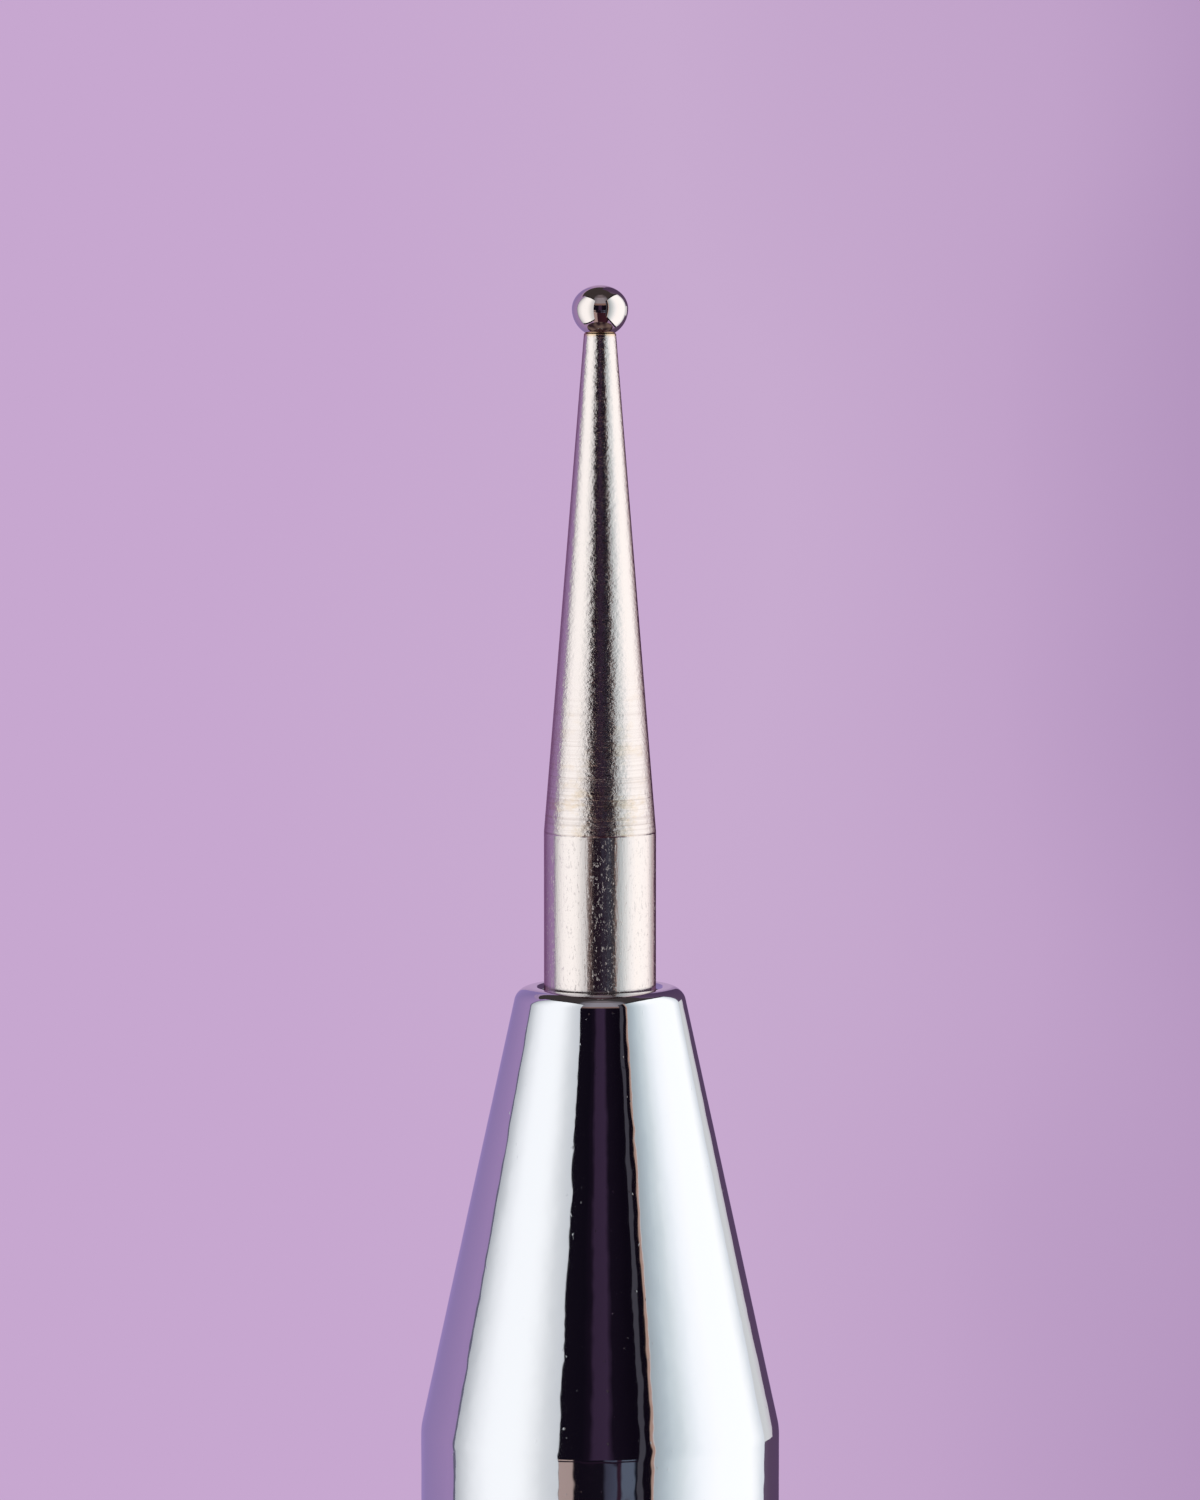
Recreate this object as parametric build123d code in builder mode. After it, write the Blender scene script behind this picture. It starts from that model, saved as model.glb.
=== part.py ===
from build123d import *
import os
from math import asin, degrees, radians, sqrt, tan

# A double-ended embossing stylus: a fine ball tip at +Z and a broad one at -Z.
# Each tip is held by a split collet, which a screwed nose cone closes.
# Lengths are in millimetres. The origin is the middle of the barrel tube, on the tool's axis.
# Every chuck piece is drawn for the fine end, and mirrored for the broad end.

# Tips: a polished ball on the coned seat of a turned rod.
# A ball is round up past its equator, and its crown, worn by use, is lower and of a larger radius.
rod_diameter = 3.175
rod_showing = 4.4
rod_tail_chamfer = 0.3
fine_ball_diameter = 1.5875
fine_neck_diameter = 0.9
fine_taper_length = 14.1
broad_ball_diameter = 3.0
broad_neck_diameter = 1.7
broad_taper_length = 10.5
ball_crown_height_share = 0.842
ball_crown_radius_share = 1.083
braze_gap = 0.01

# The body's diameter, which nose cones, flanges, grips and tube share
body_diameter = 10.2

# Nose cone
nose_rim_width = 0.6775
nose_cone_length = 12.6
nose_skirt_length = 6.4
nose_rim_round = 0.45
nose_shoulder_round = 1.5
nose_foot_chamfer = 0.25
mouth_clearance = 0.085
mouth_length = 2.0
mouth_chamfer = 0.12
throat_gap = 0.4

# Scallops milled round the foot of the nose cone, for fingers to turn it by
scallop_count = 16
scallop_cutter_diameter = 2.4
scallop_depth = 0.2
scallop_length = 2.8

# Split collet, whose walls stand round the rod
collet_face_wall = 0.45
collet_head_wall = 1.3
collet_shank_wall = 0.7
collet_taper_length = 3.4
collet_head_length = 3.4
collet_back_angle = 30
collet_face_gap = 0.3
collet_bore_clearance = 0.0125
collet_tail_chamfer = 0.2
slot_count = 4
slot_width = 0.45
slot_root_below_head = 2.2
slot_relief_diameter = 0.9
taper_clearance = 0.03

# Chuck insert, the spigot, flange and stub that carry one end.
# The spigot's share of the wall between its bore and the body puts the thread at 7.0 mm.
spigot_wall_share = 0.42238
thread_clearance = 0.05
thread_chamfer = 0.35
thread_relief_length = 1.0
thread_relief_depth = 0.4
seat_depth = 0.5
shank_clearance = 0.03
bore_floor_below_rim = 17.0
rod_tail_gap = 0.1
collet_tail_gap = 0.3
seal_land_gap = 0.1
flange_length = 1.2
flange_chamfer = 0.2
stub_clearance = 0.02
stub_in_tube = 8.0

# Seal ring, a square-cut rubber ring between the nose cone and the flange
seal_ring_step = 0.2
seal_ring_width = 0.78
seal_gap = 0.8
seal_face_gap = 0.01
seal_bore_clearance = 0.02

# Grip sleeve
grip_length = 20.0
grip_end_chamfer = 0.4
grip_flute_count = 24
grip_flute_depth = 0.3

# Trim ring, a step below the body
trim_ring_step = 0.3
trim_ring_length = 1.5
trim_ring_chamfer = 0.35

# Barrel tube, whose bore the grips and trim rings share
tube_wall = 1.18
tube_length = 30.0
tube_end_chamfer = 0.4

# One overrun serves every cut
cut_overrun = 1.0

# Radii
rod_radius = rod_diameter / 2
body_radius = body_diameter / 2
mouth_radius = rod_radius + mouth_clearance
nose_rim_radius = mouth_radius + nose_rim_width
collet_bore_radius = rod_radius + collet_bore_clearance
collet_face_radius = collet_bore_radius + collet_face_wall
collet_head_radius = collet_bore_radius + collet_head_wall
collet_shank_radius = collet_bore_radius + collet_shank_wall
nose_head_bore_radius = collet_head_radius + taper_clearance
insert_bore_radius = collet_shank_radius + shank_clearance
thread_radius = insert_bore_radius + spigot_wall_share * (body_radius - insert_bore_radius)
thread_relief_radius = thread_radius - thread_relief_depth
nose_bore_radius = thread_radius + thread_clearance
seal_ring_radius = body_radius - seal_ring_step
seal_bore_radius = seal_ring_radius - seal_ring_width
seal_land_radius = seal_bore_radius - seal_bore_clearance
sleeve_bore_radius = body_radius - tube_wall
stub_radius = sleeve_bore_radius - stub_clearance
trim_ring_radius = body_radius - trim_ring_step
scallop_cutter_radius = scallop_cutter_diameter / 2

# Heights along the fine end, from the middle of the barrel tube outwards
tube_end_z = tube_length / 2
stub_end_z = tube_end_z - stub_in_tube
grip_foot_z = tube_end_z + trim_ring_length
flange_foot_z = grip_foot_z + grip_length
flange_top_z = flange_foot_z + flange_length
nose_foot_z = flange_top_z + seal_gap
seal_land_z = nose_foot_z - seal_land_gap
thread_foot_z = nose_foot_z + thread_relief_length
nose_shoulder_z = nose_foot_z + nose_skirt_length
nose_rim_z = nose_shoulder_z + nose_cone_length
mouth_floor_z = nose_rim_z - mouth_length

# Heights of the collet, which hangs in the nose cone's closing taper
collet_slope = (collet_head_radius - collet_face_radius) / collet_taper_length
collet_back_slope = tan(radians(collet_back_angle))
collet_back_length = (collet_head_radius - collet_shank_radius) / collet_back_slope
collet_face_z = mouth_floor_z - collet_face_gap
collet_head_z = collet_face_z - collet_taper_length
collet_back_z = collet_head_z - collet_head_length
collet_shank_z = collet_back_z - collet_back_length
slot_root_z = collet_back_z - slot_root_below_head
slot_top_z = collet_face_z + cut_overrun

# The mouth end of the closing taper, which runs on past the collet's face
taper_mouth_radius = collet_face_radius + taper_clearance - collet_face_gap * collet_slope

# Heights of the insert, whose spigot seats the back of the collet
spigot_face_z = collet_back_z - seat_depth
seat_mouth_radius = collet_head_radius + shank_clearance - seat_depth * collet_back_slope
seat_floor_z = spigot_face_z - (seat_mouth_radius - insert_bore_radius) / collet_back_slope
bore_floor_z = nose_rim_z - bore_floor_below_rim
rod_tail_z = bore_floor_z + rod_tail_gap
collet_tail_z = bore_floor_z + collet_tail_gap
throat_z = spigot_face_z + throat_gap

os.makedirs("parts", exist_ok=True)


def write(piece, label):
    piece.part.label = label
    export_step(piece.part, f"parts/{label}.step")


# Barrel tube
with BuildPart() as barrel_tube:
    with BuildSketch(Plane.XY.offset(-tube_end_z)):
        Circle(body_radius)
        Circle(sleeve_bore_radius, mode=Mode.SUBTRACT)
    extrude(amount=tube_length)
    outer_edges = barrel_tube.edges().filter_by(GeomType.CIRCLE).group_by(SortBy.RADIUS)[-1]
    chamfer(outer_edges, tube_end_chamfer)
write(barrel_tube, "barrel_tube")

for end in ("front", "rear"):
    # Trim ring, a polished bead between the tube and the grip
    with BuildPart() as trim_ring:
        with BuildSketch(Plane.XY.offset(tube_end_z)):
            Circle(trim_ring_radius)
            Circle(sleeve_bore_radius, mode=Mode.SUBTRACT)
        extrude(amount=trim_ring_length)
        outer_edges = trim_ring.edges().filter_by(GeomType.CIRCLE).group_by(SortBy.RADIUS)[-1]
        chamfer(outer_edges, trim_ring_chamfer)
        if end == "rear":
            mirror(about=Plane.XY, mode=Mode.REPLACE)
    write(trim_ring, f"{end}_trim_ring")

    # Grip sleeve, with V flutes along it, each cut by the corner of a square
    with BuildPart() as grip_sleeve:
        with BuildSketch(Plane.XY.offset(grip_foot_z)):
            Circle(body_radius)
            Circle(sleeve_bore_radius, mode=Mode.SUBTRACT)
        extrude(amount=grip_length)
        outer_edges = grip_sleeve.edges().filter_by(GeomType.CIRCLE).group_by(SortBy.RADIUS)[-1]
        chamfer(outer_edges, grip_end_chamfer)
        with BuildSketch(Plane.XY.offset(grip_foot_z)):
            with PolarLocations(body_radius, grip_flute_count):
                flute_side = grip_flute_depth * sqrt(2)
                Rectangle(flute_side, flute_side, rotation=45)
        extrude(amount=grip_length, mode=Mode.SUBTRACT)
        if end == "rear":
            mirror(about=Plane.XY, mode=Mode.REPLACE)
    write(grip_sleeve, f"{end}_grip_sleeve")

    # Chuck insert, turned from one bar
    with BuildPart() as chuck_insert:
        with BuildSketch(Plane.XZ):
            with BuildLine():
                Polyline(
                    (0, stub_end_z),
                    (stub_radius, stub_end_z),
                    (stub_radius, flange_foot_z),
                    (body_radius, flange_foot_z),
                    (body_radius, flange_top_z - flange_chamfer),
                    (body_radius - flange_chamfer, flange_top_z),
                    (seal_land_radius, flange_top_z),
                    (seal_land_radius, seal_land_z),
                    (thread_relief_radius, seal_land_z),
                    (thread_relief_radius, thread_foot_z),
                    (thread_radius, thread_foot_z + thread_relief_depth),
                    (thread_radius, spigot_face_z - thread_chamfer),
                    (thread_radius - thread_chamfer, spigot_face_z),
                    (seat_mouth_radius, spigot_face_z),
                    (insert_bore_radius, seat_floor_z),
                    (insert_bore_radius, bore_floor_z),
                    (0, bore_floor_z),
                    close=True,
                )
            make_face()
        revolve(axis=Axis.Z)
        if end == "rear":
            mirror(about=Plane.XY, mode=Mode.REPLACE)
    write(chuck_insert, f"{end}_chuck_insert")

    # Seal ring
    with BuildPart() as seal_ring:
        with BuildSketch(Plane.XY.offset(flange_top_z + seal_face_gap)):
            Circle(seal_ring_radius)
            Circle(seal_bore_radius, mode=Mode.SUBTRACT)
        extrude(amount=seal_gap - 2 * seal_face_gap)
        if end == "rear":
            mirror(about=Plane.XY, mode=Mode.REPLACE)
    write(seal_ring, f"{end}_seal_ring")

    # Nose cone, with a rounded rim and shoulder, and the closing taper inside
    with BuildPart() as nose_cone:
        with BuildSketch(Plane.XZ) as nose_section:
            with BuildLine():
                Polyline(
                    (nose_bore_radius, nose_foot_z),
                    (body_radius - nose_foot_chamfer, nose_foot_z),
                    (body_radius, nose_foot_z + nose_foot_chamfer),
                    (body_radius, nose_shoulder_z),
                    (nose_rim_radius, nose_rim_z),
                    (mouth_radius + mouth_chamfer, nose_rim_z),
                    (mouth_radius, nose_rim_z - mouth_chamfer),
                    (mouth_radius, mouth_floor_z),
                    (taper_mouth_radius, mouth_floor_z),
                    (nose_head_bore_radius, collet_head_z),
                    (nose_head_bore_radius, throat_z),
                    (nose_bore_radius, throat_z),
                    close=True,
                )
            make_face()
            corners = nose_section.vertices()
            fillet(corners.sort_by_distance((nose_rim_radius, nose_rim_z, 0))[0], nose_rim_round)
            corners = nose_section.vertices()
            fillet(corners.sort_by_distance((body_radius, nose_shoulder_z, 0))[0], nose_shoulder_round)
        revolve(axis=Axis.Z)
        with BuildSketch(Plane.XY.offset(nose_foot_z)):
            with PolarLocations(body_radius + scallop_cutter_radius - scallop_depth, scallop_count):
                Circle(scallop_cutter_radius)
        extrude(amount=scallop_length, mode=Mode.SUBTRACT)
        if end == "rear":
            mirror(about=Plane.XY, mode=Mode.REPLACE)
    write(nose_cone, f"{end}_nose_cone")

    # Split collet, whose slots end in round reliefs
    with BuildPart() as collet:
        with BuildSketch(Plane.XZ):
            with BuildLine():
                Polyline(
                    (collet_bore_radius, collet_tail_z),
                    (collet_shank_radius - collet_tail_chamfer, collet_tail_z),
                    (collet_shank_radius, collet_tail_z + collet_tail_chamfer),
                    (collet_shank_radius, collet_shank_z),
                    (collet_head_radius, collet_back_z),
                    (collet_head_radius, collet_head_z),
                    (collet_face_radius, collet_face_z),
                    (collet_bore_radius, collet_face_z),
                    close=True,
                )
            make_face()
        revolve(axis=Axis.Z)
        for slot in range(slot_count):
            with BuildSketch(Plane.XZ.rotated((0, 0, slot * 360 / slot_count))):
                with Locations((0, (slot_root_z + slot_top_z) / 2)):
                    Rectangle(slot_width, slot_top_z - slot_root_z)
                with Locations((0, slot_root_z)):
                    Circle(slot_relief_diameter / 2)
            extrude(amount=collet_head_radius + cut_overrun, mode=Mode.SUBTRACT)
        if end == "rear":
            mirror(about=Plane.XY, mode=Mode.REPLACE)
    write(collet, f"{end}_collet")

tips = (
    ("front", "fine", fine_ball_diameter, fine_neck_diameter, fine_taper_length),
    ("rear", "broad", broad_ball_diameter, broad_neck_diameter, broad_taper_length),
)
for end, tip, ball_diameter, neck_diameter, taper_length in tips:
    taper_foot_z = nose_rim_z + rod_showing
    neck_z = taper_foot_z + taper_length
    neck_radius = neck_diameter / 2
    ball_radius = ball_diameter / 2
    ball_rise = sqrt((ball_radius + braze_gap) ** 2 - neck_radius**2)
    ball_seat_depth = neck_radius**2 / ball_rise
    ball_z = neck_z + ball_rise
    crown_z = ball_z + ball_radius * ball_crown_height_share
    crown_radius = ball_radius * ball_crown_radius_share
    crown_centre_z = crown_z - crown_radius
    crown_drop = ball_z - crown_centre_z
    crown_edge_rise = (crown_radius**2 - ball_radius**2 - crown_drop**2) / (2 * crown_drop)
    ball_edge_angle = degrees(asin(crown_edge_rise / ball_radius))
    crown_edge_angle = degrees(asin((crown_edge_rise + crown_drop) / crown_radius))

    # Stem, one turned rod from its tail in the insert to the coned seat under the ball
    with BuildPart() as stem:
        with BuildSketch(Plane.XZ):
            with BuildLine():
                Polyline(
                    (0, rod_tail_z),
                    (rod_radius - rod_tail_chamfer, rod_tail_z),
                    (rod_radius, rod_tail_z + rod_tail_chamfer),
                    (rod_radius, taper_foot_z),
                    (neck_radius, neck_z),
                    (0, neck_z - ball_seat_depth),
                    close=True,
                )
            make_face()
        revolve(axis=Axis.Z)
        if end == "rear":
            mirror(about=Plane.XY, mode=Mode.REPLACE)
    write(stem, f"{tip}_stem")

    # Ball, which touches the seat just inside the neck's edge
    with BuildPart() as ball:
        with BuildSketch(Plane.XZ):
            with BuildLine():
                CenterArc((0, ball_z), ball_radius, -90, 90 + ball_edge_angle)
                CenterArc((0, crown_centre_z), crown_radius, crown_edge_angle, 90 - crown_edge_angle)
                Line((0, crown_z), (0, ball_z - ball_radius))
            make_face()
        revolve(axis=Axis.Z)
        if end == "rear":
            mirror(about=Plane.XY, mode=Mode.REPLACE)
    write(ball, f"{tip}_ball")
    print(tip, "ball top at", round(crown_z, 3))
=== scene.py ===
from math import asin, ceil, cos, pi, radians, sin, tan

import bpy
from mathutils import Euler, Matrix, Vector


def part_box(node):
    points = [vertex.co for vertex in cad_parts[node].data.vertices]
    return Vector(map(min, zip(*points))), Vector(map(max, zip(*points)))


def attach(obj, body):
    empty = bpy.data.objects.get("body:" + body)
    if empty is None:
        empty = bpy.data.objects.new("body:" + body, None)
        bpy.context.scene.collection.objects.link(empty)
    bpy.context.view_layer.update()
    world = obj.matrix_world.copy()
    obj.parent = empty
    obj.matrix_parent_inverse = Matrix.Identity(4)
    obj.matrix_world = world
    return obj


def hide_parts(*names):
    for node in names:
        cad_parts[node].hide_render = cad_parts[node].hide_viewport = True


# The looks of a double-ended embossing stylus, whose fine tip stands up towards the camera's middle.
# Pieces are turned in millimetres about the tool's axis, and finished in metres in the frame of the solids.
# Every piece is made for the fine end first. A piece of the other end is a copy of it, turned end for end.

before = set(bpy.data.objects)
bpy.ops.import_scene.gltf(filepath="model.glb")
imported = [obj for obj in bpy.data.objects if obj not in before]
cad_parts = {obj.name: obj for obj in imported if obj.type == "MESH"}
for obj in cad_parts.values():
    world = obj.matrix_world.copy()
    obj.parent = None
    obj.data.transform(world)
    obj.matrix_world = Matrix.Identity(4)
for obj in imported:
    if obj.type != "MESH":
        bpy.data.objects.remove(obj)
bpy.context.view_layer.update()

MM = 0.001


def heights(node):
    """Inner and outer height of a solid above the middle of the tool, in millimetres, on either end."""
    low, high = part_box(node)
    return sorted((abs(low.z) / MM, abs(high.z) / MM))


# Heights from the solids
tube_end = heights("barrel_tube")[1]
grip_foot, grip_top = heights("front_grip_sleeve")
insert_foot, spigot_face = heights("front_chuck_insert")
seal_foot, seal_top = heights("front_seal_ring")
nose_foot, nose_rim = heights("front_nose_cone")

# Nose cone, in millimetres
nose_radius = 5.1
nose_rim_radius = 2.35
nose_cone_length = 12.6
nose_rim_round = 0.45
nose_shoulder_round = 1.5
nose_foot_chamfer = 0.25
nose_edge_round = 0.04
nose_bore_radius = 3.55
nose_head_bore_radius = 2.93
mouth_radius = 1.6725
mouth_length = 2.0
mouth_chamfer = 0.12
taper_mouth_radius = 2.005
taper_length = 3.7
throat_below_rim = 9.2
scallop_count = 16
scallop_cutter_radius = 1.2
scallop_depth = 0.2
scallop_length = 2.8
scallop_end_round = 0.25

# Stems and balls
rod_radius = 1.5875
rod_tail_chamfer = 0.3
taper_foot_above_rim = 4.4
taper_foot_round = 1.2
neck_round = 0.03
fine_neck_radius = 0.45
broad_neck_radius = 0.85
ball_seat_share = 0.6
crown_height_share = 0.842

# Body behind the nose cones
sleeve_bore_radius = 3.92
stub_radius = 3.9
seal_ring_radius = 4.9
seal_bore_radius = 4.12
seal_land_radius = 4.1
seal_land_above_flange = 0.7
flange_chamfer = 0.2
end_chamfer = 0.4
trim_ring_radius = 4.8
trim_ring_chamfer = 0.35
edge_round = 0.05
flute_count = 24
flute_depth = 0.3
flute_edge_round = 0.06

# Screw spigot of the chuck insert
thread_radius = 3.5
thread_root_radius = 3.09
thread_pitch = 0.75
thread_crest = 0.09
thread_foot_above_flange = 1.9
thread_chamfer = 0.35
spigot_length = 10.2
seat_mouth_radius = 2.641
insert_bore_radius = 2.33
seat_length = 0.539
bore_floor_below_rim = 17.0

# How far a chuck travels and a tip draws out, which the floor leaves room for
chuck_travel = 6.75
tip_draw = 18.0
floor_gap = 0.8

# Heights of surface marks, in metres
SWELL_HEIGHT = 1.3e-5
PIT_DEPTH = 1.5e-6
GRAIN_HEIGHT = 1.8e-5
RING_HEIGHT = 1.8e-5
SCRATCH_DEPTH = 3.0e-6
GOUGE_DEPTH = 2.6e-6
TUMBLE_HEIGHT = 1.2e-6
BRUSHING_HEIGHT = 1.0e-6
FEED_HEIGHT = 1.0e-6
MOULD_HEIGHT = 2.0e-6

# Reach of the marks on a stem, in millimetres from the foot of its taper or from its neck
FOOT_SOFTNESS = 0.02
RINGS_FADE = 1.0
RINGS_END = 5.0
HEAT_REACH = 0.12

# Steps of a full turn, for the body, the insert, its thread, and the two directions of a ball
TURN_STEPS = 256
INSERT_STEPS = 192
THREAD_STEPS = 96
BALL_SEGMENTS = 160
BALL_RINGS = 120

# Steps of a scallop's cutter and of its rounded end, and the turn that one step of a rounded corner takes
CUTTER_STEPS = 64
CUTTER_END_STEPS = 5
CORNER_STEP = radians(6)

# In millimetres: what counts as one place, what is merged, and how far a cutter stands out of what it cuts
SAME_PLACE = 1e-4
MERGED = 1e-5
OVERCUT = 1.0


def deselect():
    """Leaves nothing selected, so that an operator acts on the new piece alone."""
    if bpy.context.object and bpy.context.object.mode != "OBJECT":
        bpy.ops.object.mode_set(mode="OBJECT")
    bpy.ops.object.select_all(action="DESELECT")


def pick(piece, chosen):
    """Selects the corners of a mesh for which chosen(place) is true, and stays in edit mode."""
    bpy.ops.object.mode_set(mode="EDIT")
    bpy.ops.mesh.select_mode(type="VERT")
    bpy.ops.mesh.select_all(action="DESELECT")
    bpy.ops.object.mode_set(mode="OBJECT")
    for corner in piece.data.vertices:
        corner.select = chosen(corner.co)
    bpy.ops.object.mode_set(mode="EDIT")


def outline(name, corners, closed):
    """Draws an outline through (place, round) corners, where round is the radius of the arc, or zero."""
    deselect()
    bpy.ops.mesh.primitive_plane_add(size=1)
    piece = bpy.context.object
    piece.name = name
    bpy.ops.object.mode_set(mode="EDIT")
    bpy.ops.mesh.select_all(action="SELECT")
    bpy.ops.mesh.merge(type="CENTER")
    places = [corner[0] for corner in corners]
    bpy.ops.transform.translate(value=places[0])
    for now, following in zip(places, places[1:]):
        bpy.ops.mesh.extrude_region_move(TRANSFORM_OT_translate={"value": following - now})
    if closed:
        pick(piece, lambda spot: min((spot - places[0]).length, (spot - places[-1]).length) < SAME_PLACE)
        bpy.ops.mesh.edge_face_add()
    for index, (place, rounding) in enumerate(corners):
        if rounding:
            turn = (place - places[index - 1]).angle(places[(index + 1) % len(places)] - place)
            pick(piece, lambda spot: (spot - place).length < SAME_PLACE)
            bpy.ops.mesh.bevel(offset=rounding * tan(turn / 2), segments=max(ceil(turn / CORNER_STEP), 2),
                               affect="VERTICES")
    return piece


def section(*points):
    """Corners of a turned section, from (radius, height) or (radius, height, round) points."""
    corners = []
    for radius, height, *rounding in points:
        corners.append((Vector((radius, 0, height)), rounding[0] if rounding else 0))
    return corners


def turned(name, points, closed=False, steps=TURN_STEPS):
    """Turns a section about the tool's axis."""
    piece = outline(name, section(*points), closed)
    bpy.ops.object.mode_set(mode="EDIT")
    bpy.ops.mesh.select_all(action="SELECT")
    bpy.ops.mesh.spin(steps=steps, angle=2 * pi, center=(0, 0, 0), axis=(0, 0, 1), use_auto_merge=True)
    bpy.ops.mesh.select_all(action="SELECT")
    bpy.ops.mesh.remove_doubles(threshold=MERGED)
    bpy.ops.mesh.normals_make_consistent(inside=False)
    bpy.ops.object.mode_set(mode="OBJECT")
    return piece


def apply_modifier(piece, kind, **settings):
    """Adds a modifier with its settings and applies it."""
    bpy.context.view_layer.objects.active = piece
    bpy.ops.object.modifier_add(type=kind)
    modifier = piece.modifiers[-1]
    for key, value in settings.items():
        setattr(modifier, key, value)
    bpy.ops.object.modifier_apply(modifier=modifier.name)


def joined(pieces):
    """Makes one mesh of several."""
    deselect()
    for piece in pieces:
        piece.select_set(True)
    bpy.context.view_layer.objects.active = pieces[0]
    bpy.ops.object.join()
    return bpy.context.object


def combine(piece, tool, operation):
    """Cuts a tool out of a piece, or joins it to the piece, and removes the tool."""
    deselect()
    piece.select_set(True)
    apply_modifier(piece, "BOOLEAN", operation=operation, object=tool, solver="EXACT")
    bpy.data.objects.remove(tool)


def flip_end_for_end(piece):
    """Turns a mesh half a turn about X, to the tool's other end, which keeps a thread's hand."""
    deselect()
    piece.select_set(True)
    bpy.context.view_layer.objects.active = piece
    bpy.ops.object.mode_set(mode="EDIT")
    bpy.ops.mesh.select_all(action="SELECT")
    bpy.ops.transform.rotate(value=pi, orient_axis="X", center_override=(0, 0, 0))
    bpy.ops.object.mode_set(mode="OBJECT")


def other_end(piece, name):
    """A copy of a piece with its own mesh, at the other end of the tool."""
    deselect()
    piece.select_set(True)
    bpy.context.view_layer.objects.active = piece
    bpy.ops.object.duplicate(linked=False)
    copy = bpy.context.object
    copy.name = name
    flip_end_for_end(copy)
    return copy


def hand_over(piece, node, body, material, sharp=30):
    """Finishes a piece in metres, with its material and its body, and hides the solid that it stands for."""
    deselect()
    piece.select_set(True)
    bpy.context.view_layer.objects.active = piece
    piece.scale = (MM, MM, MM)
    bpy.ops.object.transform_apply(location=False, rotation=False, scale=True)
    bpy.ops.object.shade_smooth_by_angle(angle=radians(sharp))
    apply_modifier(piece, "WEIGHTED_NORMAL", keep_sharp=True)
    piece.data.materials.clear()
    piece.data.materials.append(material)
    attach(piece, body)
    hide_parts(node)


def linear(code):
    """A colour written as an sRGB hex code, as the shader wants it."""
    channels = [int(code[i:i + 2], 16) / 255 for i in (1, 3, 5)]
    return tuple(c / 12.92 if c <= 0.04045 else ((c + 0.055) / 1.055) ** 2.4 for c in channels) + (1.0,)


def add(tree, kind, inputs=None, stops=None, **settings):
    """Adds a shader node with its settings, the values or links of its inputs, and the stops of its ramp.

    An input that is given as a node is linked to that node's first output in use.
    """
    made = tree.nodes.new("ShaderNode" + kind)
    for key, value in settings.items():
        setattr(made, key, value)
    for key, value in (inputs or {}).items():
        if isinstance(value, bpy.types.Node):
            value = next(output for output in value.outputs if output.enabled)
        if isinstance(value, bpy.types.NodeSocket):
            tree.links.new(value, made.inputs[key])
        else:
            made.inputs[key].default_value = value
    if stops:
        ramp = made.color_ramp
        while len(ramp.elements) < len(stops):
            ramp.elements.new(0.5)
        for element, (position, colour) in zip(ramp.elements, stops):
            element.position = position
            element.color = colour
    return made


def new_material(name):
    """An empty node material, its tree, and the piece's own coordinates in metres."""
    material = bpy.data.materials.new(name)
    material.use_nodes = True
    tree = material.node_tree
    tree.nodes.clear()
    place = add(tree, "TexCoord").outputs["Object"]
    return material, tree, place


def grey(value):
    """A neutral value for a ramp, already linear."""
    return (value, value, value, 1.0)


def cycles(across, along):
    """Scale of a pattern whose marks are that many millimetres wide across the tool and along it."""
    return (1 / (across * MM), 1 / (across * MM), 1 / (along * MM))


def chrome_plate():
    """Bright chromium plate on turned brass: a hard cool mirror, faintly swelled, with a few dust pits."""
    material, tree, place = new_material("chromium_plate")

    # The swell is as wide as in real plate. The pits are drawn three times as coarse, so that they show.
    wide = add(tree, "Mapping", {"Vector": place, "Scale": cycles(1.1, 1.2)})
    swell = add(tree, "TexNoise", {"Vector": wide, "Scale": 1.0, "Detail": 2.0, "Roughness": 0.4})
    tight = add(tree, "Mapping", {"Vector": place, "Scale": cycles(0.14, 0.17)})
    dust = add(tree, "TexNoise", {"Vector": tight, "Scale": 1.0, "Detail": 1.0})
    pits = add(tree, "ValToRGB", {"Fac": dust}, stops=[(0.75, grey(0)), (0.82, grey(1))])
    swelled = add(tree, "Bump", {"Strength": 1.0, "Distance": SWELL_HEIGHT, "Height": swell})
    pitted = add(tree, "Bump", {"Strength": 1.0, "Distance": PIT_DEPTH, "Height": pits, "Normal": swelled})
    rough = add(tree, "MapRange", {"Value": pits, "To Min": 0.04, "To Max": 0.25})
    shader = add(tree, "BsdfPrincipled", {"Base Color": linear("#C2C4C8"), "Metallic": 1.0,
                                          "Roughness": rough, "Normal": pitted})
    add(tree, "OutputMaterial", {"Surface": shader})
    return material


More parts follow.
